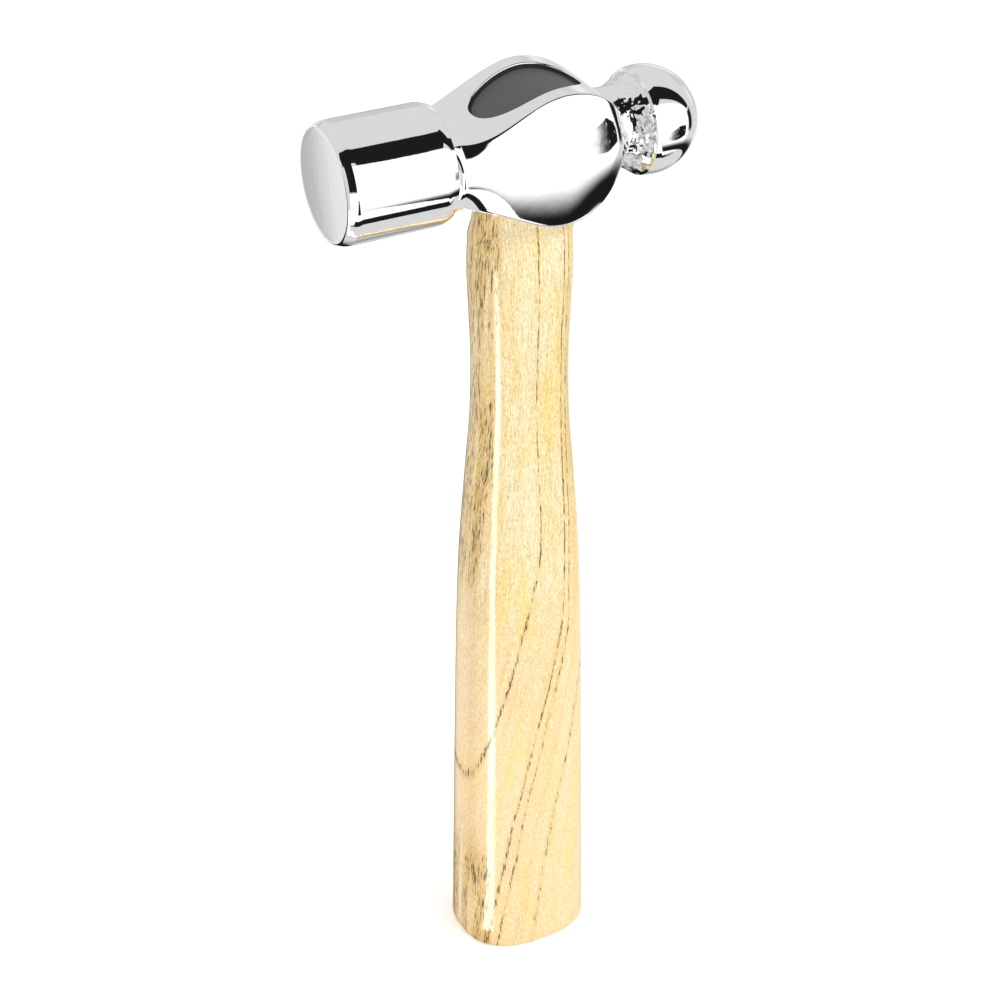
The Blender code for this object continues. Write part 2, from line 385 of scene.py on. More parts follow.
def make_boss(front_steps=16, rise_steps=72, rear_steps=64):
    front = between(NECK_START_X, NECK_END_X, front_steps)
    rise = between(NECK_END_X, BOSS_X, rise_steps)[1:]
    turn = math.acos(math.sqrt(1 - BOSS_REAR_SHARE**2))
    rear = [BOSS_X + BOSS_REAR * math.sin(angle) for angle in between(0.0, turn, rear_steps)[1:]]
    return loft("boss", [boss_section(x) for x in front + rise + rear])


def neck_roughness(x, angle):
    """Height of the cast texture on the ball's neck, fading out at the crease and at the boss."""
    start = ease((x - BOSS_X - TEXTURE_START) / TEXTURE_FADE_IN)
    end = ease((BALL_CREASE_X - x) / TEXTURE_FADE_OUT)
    spot = Vector((x, BALL_NECK_RADIUS * math.cos(angle), BALL_NECK_RADIUS * math.sin(angle)))
    coarse = noise.noise(spot / COARSE_SIZE)
    fine = noise.noise(spot / FINE_SIZE + FINE_SHIFT)
    return start * end * (COARSE_HEIGHT * coarse + FINE_HEIGHT * fine) * MM


def crease_groove(x):
    """Depth of the small groove just before the crease."""
    away = abs(x - BALL_CREASE_X + CREASE_GROOVE)
    return CREASE_GROOVE * max(1 - away / CREASE_GROOVE, 0.0)


def make_ball(inner_steps=30, neck_steps=48, ball_steps=64):
    """The neck behind the boss, the creased edge of the ball, and the ball."""
    crease = math.sqrt(BALL_RADIUS**2 - (BALL_X - BALL_CREASE_X) ** 2)
    profile = [(NECK_ROOT_X, BALL_NECK_RADIUS)]
    for x in between(NECK_RINGS_X, BALL_NECK_X, inner_steps):
        profile.append((x, BALL_NECK_RADIUS))
    for i in range(1, neck_steps + 1):
        t = i / neck_steps
        x = BALL_NECK_X + (BALL_CREASE_X - BALL_NECK_X) * t
        flared = BALL_NECK_RADIUS + (crease - BALL_NECK_RADIUS) * t**NECK_FLARE_POWER
        profile.append((x, flared - crease_groove(x)))
    start = math.acos((BALL_CREASE_X - BALL_X) / BALL_RADIUS)
    for i in range(1, ball_steps):
        angle = start * (1 - i / ball_steps)
        profile.append((BALL_X + BALL_RADIUS * math.cos(angle), BALL_RADIUS * math.sin(angle)))
    rings = turned_rings(profile, BALL_SIDES, neck_roughness)
    return loft("ball", rings, end=(BALL_X + BALL_RADIUS, 0.0, HEAD_AXIS_Z))


def superellipse(half_x, half_y, roundness):
    """(x, y) points around a superellipse."""
    points = []
    for i in range(RING_SIDES):
        angle = 2 * math.pi * i / RING_SIDES
        c = math.cos(angle)
        s = math.sin(angle)
        x = half_x * math.copysign(abs(c) ** (2 / roundness), c)
        y = half_y * math.copysign(abs(s) ** (2 / roundness), s)
        points.append((x, y))
    return points


def eye_ring(z, grow=0.0):
    """The eye's outline at a height: a superellipse, a little wider at both ends of the hole."""
    widest = EYE_FLARE_TOP if z > HEAD_AXIS_Z else EYE_FLARE_BOTTOM
    flare = widest * ((z - HEAD_AXIS_Z) / BOSS_HEIGHT) ** 2 + grow
    outline = superellipse(EYE_LENGTH + flare, EYE_WIDTH + flare, EYE_ROUNDNESS)
    return [(EYE_X + x, y, z) for x, y in outline]


def eye_ring_below_top(drop, grow):
    """The eye's outline laid a distance below the head's curved top."""
    ring = eye_ring(HEAD_AXIS_Z + BOSS_HEIGHT, grow)
    return [(x, y, HEAD_AXIS_Z + boss_height(x) - drop) for x, y, _ in ring]


def make_eye_cutter(steps=24, rim_steps=7):
    """The eye, whose upper rim is rounded over where it meets the head's top."""
    low = HEAD_AXIS_Z - BOSS_HEIGHT - EYE_CUT_BELOW
    high = HEAD_AXIS_Z + boss_height(EYE_X - EYE_LENGTH) - EYE_CUT_BELOW
    rings = [eye_ring(z) for z in between(low, high, steps)]
    rings.append(eye_ring_below_top(EYE_WALL_DROP, 0.0))
    rings.append(eye_ring_below_top(SEAL_RECESS, 0.0))
    for i in range(rim_steps + 1):
        angle = math.radians(90 - EYE_RIM_TURN * i / rim_steps)
        grow = EYE_RIM * (1 - math.sin(angle))
        drop = EYE_RIM * (1 - math.cos(angle))
        rings.append(eye_ring_below_top(drop, grow))
    # Clear of the head's top, and level at the end, so that the cap is flat
    rings.append(eye_ring_below_top(-EYE_CUT_CLEAR, 2 * EYE_RIM))
    clear = HEAD_AXIS_Z + BOSS_HEIGHT + 2 * EYE_CUT_CLEAR
    rings.append([(x, y, clear) for x, y, _ in rings[-1]])
    return loft("eye_cutter", rings)


def make_head(finish):
    head = make_barrel()
    changes = [
        ("UNION", make_boss()),
        ("UNION", make_ball()),
        ("DIFFERENCE", make_eye_cutter()),
    ]
    apply_booleans(head, changes)
    head.name = "chromed_head"
    head.data.materials.clear()
    head.data.materials.append(finish)
    smooth(head)
    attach(head, "root")
    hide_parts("head")


# ---------------------------------------------------------------- handle


def handle_half_depth(z):
    """A smooth curve through the handle's stations."""
    stations = [(a * MM, b * MM) for a, b in HANDLE_STATIONS]
    stations = [stations[0]] + stations + [stations[-1]]
    for i in range(1, len(stations) - 2):
        z1, r1 = stations[i]
        z2, r2 = stations[i + 1]
        if z <= z2:
            break
    z0, r0 = stations[i - 1]
    z3, r3 = stations[i + 2]
    span = z2 - z1
    slope1 = (r2 - r0) / (z2 - z0) * span
    slope2 = (r3 - r1) / (z3 - z1) * span
    t = (z - z1) / span
    return (
        r1 * (2 * t**3 - 3 * t**2 + 1)
        + slope1 * (t**3 - 2 * t**2 + t)
        + r2 * (3 * t**2 - 2 * t**3)
        + slope2 * (t**3 - t**2)
    )


def handle_ring(z, inset=0.0):
    """The handle's outline at a height, set in by a distance where the butt's edge is rounded."""
    share = z / TENON_START_Z
    ratio = HANDLE_RATIO_BUTT + (HANDLE_RATIO_TOP - HANDLE_RATIO_BUTT) * share
    depth = handle_half_depth(z)
    outline = superellipse(depth - inset, depth * ratio - inset, HANDLE_ROUNDNESS)
    return [(x, y, z) for x, y in outline]


def mixed(low, high, rise, share):
    """A ring between two others: one share of the way up, another of the way across."""
    shares = (share, share, rise)
    return [tuple(a + (b - a) * k for a, b, k in zip(p, q, shares)) for p, q in zip(low, high)]


def wedge_cutter(node, across):
    """A box a gap bigger than a wedge, which runs out of the tenon's top."""
    low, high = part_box(node)
    reach = Vector((CUT_GAP, CUT_GAP, CUT_GAP))
    if across:
        reach.y = CUT_PAST_SIDE
    else:
        reach.x = CUT_PAST_END
    low = low - reach
    high = high + reach
    corners = ((low.x, low.y), (high.x, low.y), (high.x, high.y), (low.x, high.y))
    rings = [[(x, y, z) for x, y in corners] for z in (low.z, high.z + CUT_PAST_TOP)]
    return loft("wedge_cutter", rings)


def make_handle(finish, edge_steps=6, body_steps=216, shoulder_steps=8, tenon_steps=12):
    top = HANDLE_STATIONS[-1][0] * MM
    rings = []
    for i in range(edge_steps + 1):
        angle = math.pi / 2 * i / edge_steps
        inset = BUTT_EDGE * (1 - math.sin(angle))
        rings.append(handle_ring(BUTT_EDGE * (1 - math.cos(angle)), inset))
    rings += [handle_ring(z) for z in between(BUTT_EDGE, top, body_steps)[1:]]
    tenon = eye_ring(TENON_START_Z, -TENON_CLEARANCE)
    for i in range(1, shoulder_steps):
        share = i / shoulder_steps
        rings.append(mixed(handle_ring(top), tenon, share, ease(share)))
    for z in between(TENON_START_Z, TENON_TOP_Z, tenon_steps):
        rings.append(eye_ring(z, -TENON_CLEARANCE))
    handle = loft("ash_handle", rings)
    cuts = [("DIFFERENCE", wedge_cutter("wooden_wedge", False))]
    for node in ("steel_wedge_front", "steel_wedge_rear"):
        cuts.append(("DIFFERENCE", wedge_cutter(node, True)))
    apply_booleans(handle, cuts)
    handle.data.materials.clear()
    handle.data.materials.append(finish)
    smooth(handle)
    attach(handle, "root")
    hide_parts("handle")


# ---------------------------------------------------------------- seal


def make_seal(finish):
    """Resin poured on the tenon's end. It climbs the eye's wall in a small fillet."""
    rings = [eye_ring(SEAL_LOW.z, SEAL_OVERLAP)]
    # Shares of the way out from the middle: close together in the fillet, wider apart inside it
    shares = [1 - 0.012 * i for i in range(9)] + between(0.89, 0.05, 20)
    for share in shares:
        rise = max(1 - (1 - share) / SEAL_CLIMB_SHARE, 0.0)
        climb = SEAL_CLIMB * rise**SEAL_CLIMB_POWER
        ring = []
        for x, y, _ in eye_ring(HEAD_AXIS_Z + BOSS_HEIGHT - SEAL_RECESS, SEAL_OVERLAP):
            px = EYE_X + (x - EYE_X) * share
            ring.append((px, y * share, HEAD_AXIS_Z + boss_height(px) - SEAL_RECESS + climb))
        rings.append(ring)
    crown = (EYE_X, 0.0, HEAD_AXIS_Z + boss_height(EYE_X) - SEAL_RECESS)
    seal = loft("resin_seal", rings, end=crown, finish=finish)
    smooth(seal, 60.0)
    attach(seal, "root")
    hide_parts("eye_seal")


# ---------------------------------------------------------------- materials

# Linear colours
PLATE_HAZY = (0.86, 0.865, 0.87)
PLATE_CLEAR = (0.94, 0.94, 0.945)
PLATE_DULL = (0.34, 0.34, 0.345)
WOOD_BELOW = (0.87, 0.635, 0.37)
WOOD_ABOVE = (0.84, 0.72, 0.47)
WOOD_PATCH = (0.86, 0.64, 0.26)
LAYER_LINE = (0.76, 0.52, 0.19)
LATEWOOD = (0.74, 0.51, 0.19)
TONGUE_BROWN = (0.66, 0.40, 0.11)
FIBRE_BROWN = (0.60, 0.41, 0.13)
FLECK_DARK = (0.46, 0.32, 0.08)
FLECK_PALE = (0.96, 0.88, 0.66)
GROWTH_LINE = (0.62, 0.41, 0.12)
PORE_BLACK = (0.07, 0.055, 0.012)
RESIN_DARK = (0.066, 0.067, 0.069)
RESIN_PALE = (0.080, 0.080, 0.082)
# Painted shade for the resin's edge along the eye's wall
RESIN_RIM_SHADE = (0.006, 0.006, 0.006)
WEDGE_WOOD_DARK = (0.50, 0.30, 0.15)
WEDGE_WOOD_PALE = (0.72, 0.50, 0.29)
WEDGE_STEEL_DARK = (0.36, 0.36, 0.37)
WEDGE_STEEL_PALE = (0.52, 0.52, 0.53)

# Dark lines in the ash: place along the growth coordinate in mm, half-width, strength
ASH_LINES = (
    (-9.0, 0.6, 0.25),
    (-4.6, 0.5, 0.12),
    (0.0, 0.5, 1.0),
    (7.3, 0.5, 1.0),
    (8.9, 0.5, 0.85),
    (11.6, 0.6, 0.35),
    (14.6, 0.9, 0.70),
)
ASH_LINES_MARGIN = 2.0
# The growth layers run straight down the upper handle. Below the bend they slant off, because
# the wood was cut across them there, and the slant eases near the butt. In mm.
ASH_BEND_Z = 128.5
ASH_BEND_SLOPE = 0.245
ASH_BEND_SPREAD = 1.636
ASH_BEND_BLEND = 1.5
ASH_EASE_Z = 45.0
ASH_EASE_SLOPE = 0.085
# The side towards the striking face begins this far from the handle's middle at the butt, and
# nearer to it with each mm of height. In mm.
FACE_SIDE_START = 14.6
FACE_SIDE_LEAN = -0.0234


class Nodes:
    """A short way to write a node tree."""

    def __init__(self, tree):
        self.tree = tree

    def add(self, kind, inputs=None, **settings):
        node = self.tree.nodes.new(kind)
        for key, value in settings.items():
            setattr(node, key, value)
        for key, value in (inputs or {}).items():
            if isinstance(value, bpy.types.NodeSocket):
                self.tree.links.new(value, node.inputs[key])
            else:
                node.inputs[key].default_value = value
        return node

    def link(self, source, shader, socket):
        self.tree.links.new(source, shader.inputs[socket])

    def show(self, surface):
        """Ends a tree that started empty."""
        self.link(surface, self.add("ShaderNodeOutputMaterial"), "Surface")

    def math(self, operation, a, b=0.0, c=0.0, clamp=False):
        inputs = {0: a, 1: b, 2: c}
        node = self.add("ShaderNodeMath", inputs, operation=operation, use_clamp=clamp)
        return node.outputs[0]

    def times(self, a, b):
        return self.math("MULTIPLY", a, b)

    def line(self, value, slope, start):
        """slope * value + start"""
        return self.math("MULTIPLY_ADD", value, slope, start)

    def split(self, vector):
        return self.add("ShaderNodeSeparateXYZ", {0: vector}).outputs

    def join(self, x, y, z=0.0):
        return self.add("ShaderNodeCombineXYZ", {0: x, 1: y, 2: z}).outputs[0]

    def vector_math(self, operation, a, b):
        node = self.add("ShaderNodeVectorMath", {0: a, 1: b}, operation=operation)
        return node.outputs[0]

    def noise(self, vector, scale, detail=3.0, roughness=0.5, offset=None):
        """Noise around 0.5. The offset moves it, so that two patterns don't line up."""
        if offset:
            vector = self.vector_math("ADD", vector, offset)
        inputs = {"Vector": vector, "Scale": scale, "Detail": detail, "Roughness": roughness}
        return self.add("ShaderNodeTexNoise", inputs).outputs["Fac"]

    def grain(self, vector, scales, detail=3.0, roughness=0.5, offset=None):
        """Noise with a scale for each axis."""
        scaled = self.vector_math("MULTIPLY", vector, scales)
        return self.noise(scaled, 1.0, detail, roughness, offset)

    def step(self, value, low, high, out_low=0.0, out_high=1.0):
        """A smooth step of value from low to high, which gives out_low up to out_high."""
        inputs = {
            "Value": value,
            "From Min": low,
            "From Max": high,
            "To Min": out_low,
            "To Max": out_high,
        }
        node = self.add("ShaderNodeMapRange", inputs, interpolation_type="SMOOTHSTEP")
        return node.outputs["Result"]

    def inside(self, value, low, high, soft):
        """1 where value lies between low and high, fading over soft on each side."""
        rising = self.step(value, low - soft, low + soft)
        falling = self.step(value, high - soft, high + soft, 1.0, 0.0)
        return self.times(rising, falling)

    def mix(self, factor, a, b):
        node = self.add("ShaderNodeMix", data_type="RGBA")
        for key, value in ((0, factor), (6, a), (7, b)):
            if isinstance(value, bpy.types.NodeSocket):
                self.tree.links.new(value, node.inputs[key])
            elif key == 0:
                node.inputs[key].default_value = value
            else:
                node.inputs[key].default_value = (*value, 1.0)
        return node.outputs[2]

    def bump(self, height, distance, strength):
        """A normal over a height in units of distance, in metres."""
        inputs = {"Height": height, "Distance": distance, "Strength": strength}
        return self.add("ShaderNodeBump", inputs).outputs["Normal"]


def new_material(name):
    """A material, its nodes, its Principled shader, and object coordinates in millimetres."""
    made = bpy.data.materials.new(name)
    made.use_nodes = True
    nodes = Nodes(made.node_tree)
    shader = made.node_tree.nodes["Principled BSDF"]
    place = nodes.add("ShaderNodeTexCoord").outputs["Object"]
    millimetres = nodes.vector_math("MULTIPLY", place, (1 / MM, 1 / MM, 1 / MM))
    return made, nodes, shader, millimetres


def bare_material(name):
    """A material with an empty tree."""
    made = bpy.data.materials.new(name)
    made.use_nodes = True
    made.node_tree.nodes.clear()
    return made, Nodes(made.node_tree)


def neck_dullness(nodes, mm):
    """How dull the plate is on the rough skin of the ball's neck: blotchy, and less at the top."""
    x, _, z = nodes.split(mm)
    axis = HEAD_AXIS_Z / MM
    crease = BALL_CREASE_X / MM
    # It sets in behind the boss, stops at the crease and thins out above the axis
    neck = nodes.step(x, 23.5, 28.0)
    neck = nodes.times(neck, nodes.step(x, crease - 0.3, crease, 1.0, 0.0))
    neck = nodes.times(neck, nodes.step(z, axis + 3.0, axis + 9.0, 1.0, 0.12))
    grime = nodes.noise(mm, 0.9, 4.0, 0.65, (4.0, 6.0, 2.0))
    return nodes.times(neck, nodes.step(grime, 0.42, 0.60, 0.0, 0.9))


def chrome_material():
    """Bright plate: a mirror with faint haze, fine polishing lines and a slow ripple."""
    made, nodes, shader, mm = new_material("polished_chrome")
    shader.inputs["Metallic"].default_value = 1.0
    haze = nodes.noise(mm, 0.35, 4.0, 0.6)
    dull = neck_dullness(nodes, mm)
    tone = nodes.mix(dull, nodes.mix(haze, PLATE_HAZY, PLATE_CLEAR), PLATE_DULL)
    nodes.link(tone, shader, "Base Color")
    polishing = nodes.vector_math("MULTIPLY", mm, (0.4, 3.0, 3.0))
    polishing = nodes.noise(polishing, 4.0, 2.0)
    rough = nodes.line(dull, 0.12, nodes.line(polishing, 0.03, 0.025))
    nodes.link(rough, shader, "Roughness")
    ripple = nodes.noise(mm, 0.22, 2.0)
    nodes.link(nodes.bump(ripple, 0.02 * MM, 0.6), shader, "Normal")
    return made


def growth_coordinate(nodes, mm):
    """Distance across the growth layers in millimetres."""
    x, _, z = nodes.split(mm)
    wander = nodes.vector_math("MULTIPLY", mm, (0.06, 0.06, 0.03))
    wander = nodes.noise(wander, 1.0, 3.0)
    x = nodes.math("ADD", x, nodes.line(wander, 2.0, -1.0))
    slant = nodes.times(nodes.math("SUBTRACT", ASH_BEND_Z, z), ASH_BEND_SLOPE)
    below = nodes.math("MAXIMUM", nodes.math("SUBTRACT", ASH_EASE_Z, z), 0.0)
    slant = nodes.math("SUBTRACT", slant, nodes.times(below, ASH_EASE_SLOPE))
    low = nodes.math("DIVIDE", nodes.math("ADD", x, slant), ASH_BEND_SPREAD)
    return nodes.math("SMOOTH_MAX", x, low, ASH_BEND_BLEND)


def line_strength(nodes, growth):
    """How strongly a dark line shows at each place along the growth coordinate."""
    low = ASH_LINES[0][0] - ASH_LINES_MARGIN
    high = ASH_LINES[-1][0] + ASH_LINES_MARGIN
    share = nodes.math("DIVIDE", nodes.math("SUBTRACT", growth, low), high - low, clamp=True)
    ramp = nodes.add("ShaderNodeValToRGB", {0: share})
    stops = ramp.color_ramp.elements
    stops[0].color = (0.0, 0.0, 0.0, 1.0)
    stops[1].color = (0.0, 0.0, 0.0, 1.0)
    for place, reach, strength in ASH_LINES:
        for shift, value in ((-reach, 0.0), (0.0, strength), (reach, 0.0)):
            stop = stops.new((place + shift - low) / (high - low))
            stop.color = (value, value, value, 1.0)
    return ramp.outputs["Color"]


def ash_material():
    """Pale ash under gloss lacquer: fibres, mottled cream, and dark pores along growth lines."""
    made, nodes, shader, mm = new_material("lacquered_ash")
    x, y, z = nodes.split(mm)
    growth = growth_coordinate(nodes, mm)
    upper = nodes.step(z, 70.0, 150.0)

    # Plain wood: cream, yellower up the handle and pinker below
    patch = nodes.grain(mm, (0.16, 0.16, 0.03), 3.0, 0.6, (3.0, 8.0, 1.0))
    wood = nodes.mix(upper, WOOD_BELOW, WOOD_ABOVE)
    wood = nodes.mix(nodes.step(patch, 0.42, 0.68), wood, WOOD_PATCH)

    # Fine lines that follow the growth layers
    layers = nodes.noise(nodes.join(growth, nodes.times(z, 0.012)), 1.5, 4.0, 0.65)
    layers = nodes.times(nodes.step(layers, 0.50, 0.66), 0.5)
    wood = nodes.mix(layers, wood, LAYER_LINE)

    # Golden latewood beside the dark lines
    golden = nodes.times(nodes.step(growth, 5.5, 9.0), nodes.step(growth, 10.0, 15.0, 1.0, 0.2))
    golden = nodes.times(golden, nodes.line(upper, 0.25, 0.25))
    wood = nodes.mix(golden, wood, LATEWOOD)

    # Long brown tongues on the side towards the striking face, high up and near the butt. Like
    # the streaks below, they run along the handle and lean a little
    side = nodes.line(z, FACE_SIDE_LEAN, nodes.math("ADD", x, FACE_SIDE_START))
    side = nodes.step(side, 1.0, -0.6)
    along = nodes.join(nodes.line(z, 0.045, y), nodes.times(x, 0.3), z)
    tongue = nodes.grain(along, (0.22, 0.22, 0.018), 3.0, 0.6, (0.4, 2.0, 6.1))
    zone = nodes.math("MAXIMUM", nodes.step(z, 100.0, 126.0), nodes.step(z, 45.0, 25.0))
    tongue = nodes.times(nodes.step(tongue, 0.33, 0.50), nodes.times(zone, side))
    wood = nodes.mix(nodes.times(tongue, 0.70), wood, TONGUE_BROWN)

    # Fibres and flecks, plainer towards the butt
    busy = nodes.line(upper, 0.6, 0.4)
    fibre = nodes.grain(mm, (2.6, 2.6, 0.16), 5.0, 0.7)
    share = nodes.times(nodes.step(fibre, 0.42, 0.68), nodes.times(busy, 0.65))
    wood = nodes.mix(share, wood, FIBRE_BROWN)
    fleck = nodes.grain(mm, (3.4, 3.4, 0.9), 3.0, 0.65, (2.0, 2.0, 9.0))
    share = nodes.times(nodes.step(fleck, 0.53, 0.68), nodes.times(busy, 0.80))
    wood = nodes.mix(share, wood, FLECK_DARK)
    wood = nodes.mix(nodes.times(nodes.step(fleck, 0.47, 0.32), 0.7), wood, FLECK_PALE)

    # Pores: short dark dashes, strung along the lines, and longer ones crowding the tongues
    broken = nodes.grain(mm, (0.25, 0.25, 0.10), 2.0, 0.5, (8.0, 3.0, 5.0))
    lines = nodes.times(line_strength(nodes, growth), nodes.step(broken, 0.30, 0.52, 0.55, 1.0))
    dash = nodes.grain(mm, (2.8, 2.8, 0.40), 2.0, 0.55, (5.0, 1.0, 2.0))
    dash = nodes.math("SUBTRACT", dash, nodes.line(lines, -0.38, 0.78))
    streak = nodes.grain(along, (3.6, 3.6, 0.24), 2.0, 0.55, (1.0, 7.0, 3.0))
    streak = nodes.math("SUBTRACT", streak, nodes.line(tongue, -0.26, 0.79))
    streak = nodes.times(nodes.step(streak, 0.0, 0.07), side)
    pores = nodes.math("MAXIMUM", nodes.step(dash, 0.0, 0.06), streak)
    wood = nodes.mix(nodes.times(lines, 0.55), wood, GROWTH_LINE)
    wood = nodes.mix(nodes.times(pores, 0.90), wood, PORE_BLACK)
    nodes.link(wood, shader, "Base Color")
    nodes.link(nodes.line(fibre, 0.2, 0.35), shader, "Roughness")
    shader.inputs["Specular IOR Level"].default_value = 0.1
    height = nodes.line(pores, -0.8, nodes.times(fibre, 0.35))
    nodes.link(nodes.bump(height, 0.06 * MM, 0.5), shader, "Normal")

    # Lacquer, a little wavy
    shader.inputs["Coat Weight"].default_value = 0.8
    shader.inputs["Coat Roughness"].default_value = 0.14
    shader.inputs["Coat IOR"].default_value = 1.5
    uneven = nodes.line(fleck, 0.10, nodes.grain(mm, (0.25, 0.25, 0.05), 2.0))
    nodes.link(nodes.bump(uneven, 0.12 * MM, 0.6), shader, "Coat Normal")
    return made


def resin_material():
    """Dark grey resin, with painted shade: black where it climbs the eye's wall, for the shadow at
    the edge of the recess.
    """
    made, nodes, shader, mm = new_material("dark_resin")
    x, y, _ = nodes.split(mm)
    half_length = (EYE_LENGTH + EYE_FLARE_TOP) / MM
    half_width = (EYE_WIDTH + EYE_FLARE_TOP) / MM
    along = nodes.math("DIVIDE", nodes.math("SUBTRACT", x, EYE_X / MM), half_length)
    across = nodes.math("DIVIDE", y, half_width)
    along = nodes.math("POWER", nodes.math("ABSOLUTE", along), EYE_ROUNDNESS)
    across = nodes.math("POWER", nodes.math("ABSOLUTE", across), EYE_ROUNDNESS)
    # Painted shade: the resin turns black near the eye's wall, for the shadow in the recess there
    rim = nodes.step(nodes.math("ADD", along, across), 0.84, 0.90)
    grain = nodes.noise(mm, 1.2, 4.0, 0.6)
    tone = nodes.mix(rim, nodes.mix(grain, RESIN_DARK, RESIN_PALE), RESIN_RIM_SHADE)
    nodes.link(tone, shader, "Base Color")
    nodes.link(nodes.line(grain, 0.2, 0.5), shader, "Roughness")
    return made


def wedge_wood_material():
    made, nodes, shader, mm = new_material("wedge_wood")
    fibre = nodes.grain(mm, (2.5, 2.5, 0.12), 4.0)
    nodes.link(nodes.mix(fibre, WEDGE_WOOD_DARK, WEDGE_WOOD_PALE), shader, "Base Color")
    nodes.link(nodes.line(fibre, 0.2, 0.5), shader, "Roughness")
    nodes.link(nodes.bump(fibre, 0.1 * MM, 0.5), shader, "Normal")
    return made


def wedge_steel_material():
    made, nodes, shader, mm = new_material("wedge_steel")
    shader.inputs["Metallic"].default_value = 1.0
    rolled = nodes.vector_math("MULTIPLY", mm, (1.0, 1.0, 0.1))
    rolled = nodes.noise(rolled, 3.0, 4.0)
    nodes.link(nodes.mix(rolled, WEDGE_STEEL_DARK, WEDGE_STEEL_PALE), shader, "Base Color")
    nodes.link(nodes.line(rolled, 0.2, 0.3), shader, "Roughness")
    nodes.link(nodes.bump(rolled, 0.02 * MM, 0.4), shader, "Normal")
    return made


# ---------------------------------------------------------------- studio

# Emission of the black cards and of the dome's parts
BLACK = 0.012
DOME_BLACK = (0.012, 0.012, 0.012)
DOME_GREY = (0.76, 0.76, 0.76)
DOME_WHITE = (1.25, 1.25, 1.25)
DOME_SHADE = (0.34, 0.34, 0.34)
DOME_LIGHT = (0.98, 0.98, 0.98)
DOME_FACE = (0.88, 0.88, 0.88)
WHITE = (1.0, 1.0, 1.0, 1.0)

DOME_RADIUS = 4.0
# What the striking face reflects towards the camera
FACE_VIEW = (-0.352, 0.840, -0.415)

FLOOR_HALF = 30.0
# Cards lie just above the floor, one of them just above the others
CARD_GAP = 0.5 * MM
OVERHEAD = 0.20

# (x, y) in metres. A long shade overhead: the black band along the barrel, and the ball's hook
OVERHEAD_OUTLINE = (
    (-0.30, -0.040),
    (0.05, -0.040),
    (0.09, -0.015),
    (0.35, -0.030),
    (1.60, -0.080),
    (1.60, -0.300),
    (0.35, -0.150),
    (0.10, -0.128),
    (0.08, -0.190),
    (0.065, -0.190),
    (0.02, -0.150),
    (-0.30, -0.150),
)
# A strip on the floor in front: the dark line low along the barrel
STRIP_OUTLINE = (
    (-0.10, -0.125),
    (0.11, -0.125),
    (0.115, -0.115),
    (0.22, -0.115),
    (0.22, -0.155),
    (0.115, -0.155),
    (0.11, -0.195),
    (-0.10, -0.195),
)
# The floor to the right: the shaded lower rear of the cheek
ARC_OUTLINE = ((0.115, -0.45), (0.55, -0.45), (0.55, 0.15), (0.25, 0.15), (0.115, -0.15))
ARC_CENTRE = (0.10, -0.02)
# A column on the floor that runs away to the front
COLUMN_OUTLINE = ((-0.06, -0.30), (0.03, -0.30), (0.03, -1.20), (-0.06, -1.20))
# (x, y, height above the head's axis): a small dark patch beside the ball, which the rear of
# the cheek and the ball reflect
BALL_FLAG = (
    (0.052, -0.071, -0.0280),
    (0.062, -0.067, -0.0110),
    (0.083, -0.0505, -0.0040),
    (0.095, -0.034, -0.0080),
    (0.091, -0.033, -0.0240),
    (0.077, -0.052, -0.0300),
)
# (x, y, z): a soft shade behind to the left, for the striking face
FACE_SHADE = ((-0.20, 0.25, 0.01), (-0.20, 0.50, 0.01), (-0.20, 0.50, 0.20), (-0.20, 0.25, 0.20))
FACE_SHADE_TONE = 0.3
# A bright wedge of floor from the butt outwards, for the highlight down the handle's corner:
# its bearing and half-spread in degrees, its two ends in metres, and its strength
LIGHT_BEARING = 212
LIGHT_SPREAD = 8.0
LIGHT_NEAR = 0.024
LIGHT_FAR = 0.5
LIGHT_STRENGTH = 13.0

# The key light's place, and the point on the handle that it is turned to
KEY_LOCATION = (0.9, -1.3, 1.6)
KEY_AIM = Vector((0, 0, 0.13))

# The camera's direction in degrees, from -Y towards +X and up from level, and its distance
CAMERA_AZIMUTH = -27.144
CAMERA_ELEVATION = 31.711
CAMERA_DISTANCE = 656.4 * MM
# From the middle of the CAD's box to the point the camera looks at
CAMERA_AIM = Vector((-2.16, 2.21, 10.81)) * MM
CAMERA_SENSOR = 36.0
CAMERA_LENS = 89.91


def only_in_reflections(obj):
    obj.visible_camera = False
    obj.visible_diffuse = False
    obj.visible_transmission = False
    obj.visible_volume_scatter = False
    obj.visible_shadow = False


def card(name, corners, strength):
    """A flat reflector or flag that shows only in glossy reflections."""
    finish, nodes = bare_material(name)
    nodes.show(nodes.add("ShaderNodeEmission", {"Color": WHITE, "Strength": strength}).outputs[0])
    made = mesh_object(name, corners, [tuple(range(len(corners)))], finish)
    only_in_reflections(made)


def shaded_card(name, corners, mask, tone=BLACK):
    """A dark card that shows only in reflections, and only as far as its mask says."""
    finish, nodes = bare_material(name)
    place = nodes.add("ShaderNodeTexCoord").outputs["Object"]
    clear = nodes.add("ShaderNodeBsdfTransparent").outputs[0]
    color = (tone, tone, tone, 1.0)
    glow = nodes.add("ShaderNodeEmission", {"Color": color, "Strength": 1.0}).outputs[0]
    share = mask(nodes, *nodes.split(place))
    nodes.show(nodes.add("ShaderNodeMixShader", {0: share, 1: clear, 2: glow}).outputs[0])
    flag = mesh_object(name, corners, [tuple(range(len(corners)))], finish)
    only_in_reflections(flag)


def arc_mask(nodes, x, y, z):
    """A dark arc on the floor with a crisp inner edge and a long outer fade."""
    dx = nodes.math("SUBTRACT", x, ARC_CENTRE[0])
    dy = nodes.math("SUBTRACT", y, ARC_CENTRE[1])
    reach = nodes.math("SQRT", nodes.math("ADD", nodes.times(dx, dx), nodes.times(dy, dy)))
    fade = nodes.step(reach, 0.26, 0.39, 1.0, 0.0)
    return nodes.times(nodes.step(reach, 0.190, 0.200), fade)


